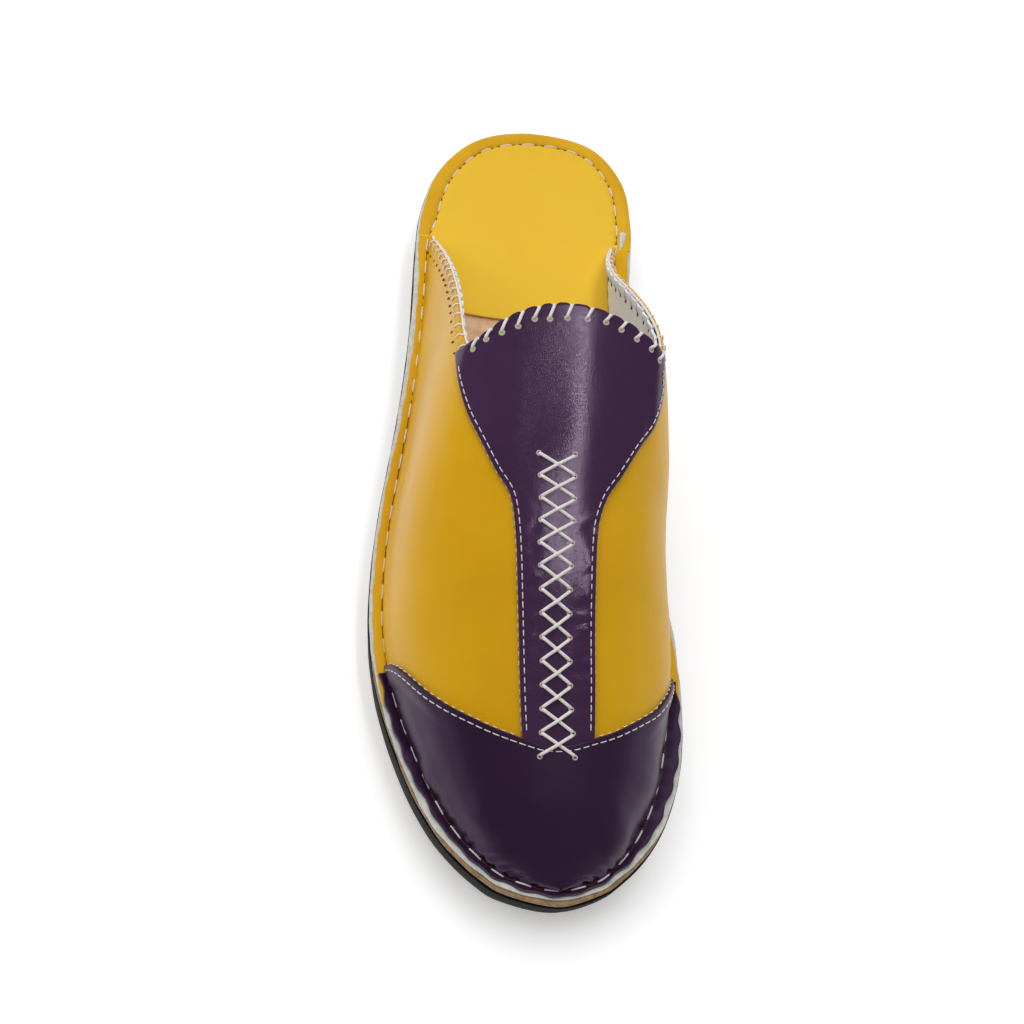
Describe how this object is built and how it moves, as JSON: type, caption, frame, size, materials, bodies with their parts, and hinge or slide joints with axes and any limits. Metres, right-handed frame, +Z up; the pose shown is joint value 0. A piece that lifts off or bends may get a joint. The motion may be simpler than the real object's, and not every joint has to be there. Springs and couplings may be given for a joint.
{
  "type": "backless leather slipper",
  "caption": "Backless leather slipper for the right foot: stitched-out upper with a toe cap and a cross-stitched vamp strip on a layered sole.",
  "frame": {"origin": "middle of the shoe's bounding box, on the ground", "axes": "+Z up, toe towards -Y, the inner (big toe) side towards +X"},
  "size_m": [0.099, 0.28, 0.0846],
  "materials": {
    "outsole_rubber": "matt tan rubber",
    "grey_foam": "matt dark grey foam rubber",
    "black_foam": "matt black foam rubber",
    "bare_leather": "bare tan leather board",
    "yellow_leather": "smooth yellow leather, satin",
    "purple_leather": "smooth dark purple leather, glossy",
    "cord": "waxed off-white cord"
  },
  "bodies": {
    "root": {"outsole": "outsole_rubber", "midsole_lower": "grey_foam", "midsole_upper": "black_foam", "insole_board": "bare_leather", "heel_sock": "yellow_leather", "upper": "yellow_leather", "toe_cap": "purple_leather", "vamp_strip": "purple_leather", "cross_stitch": "cord"}
  },
  "joints": []
}
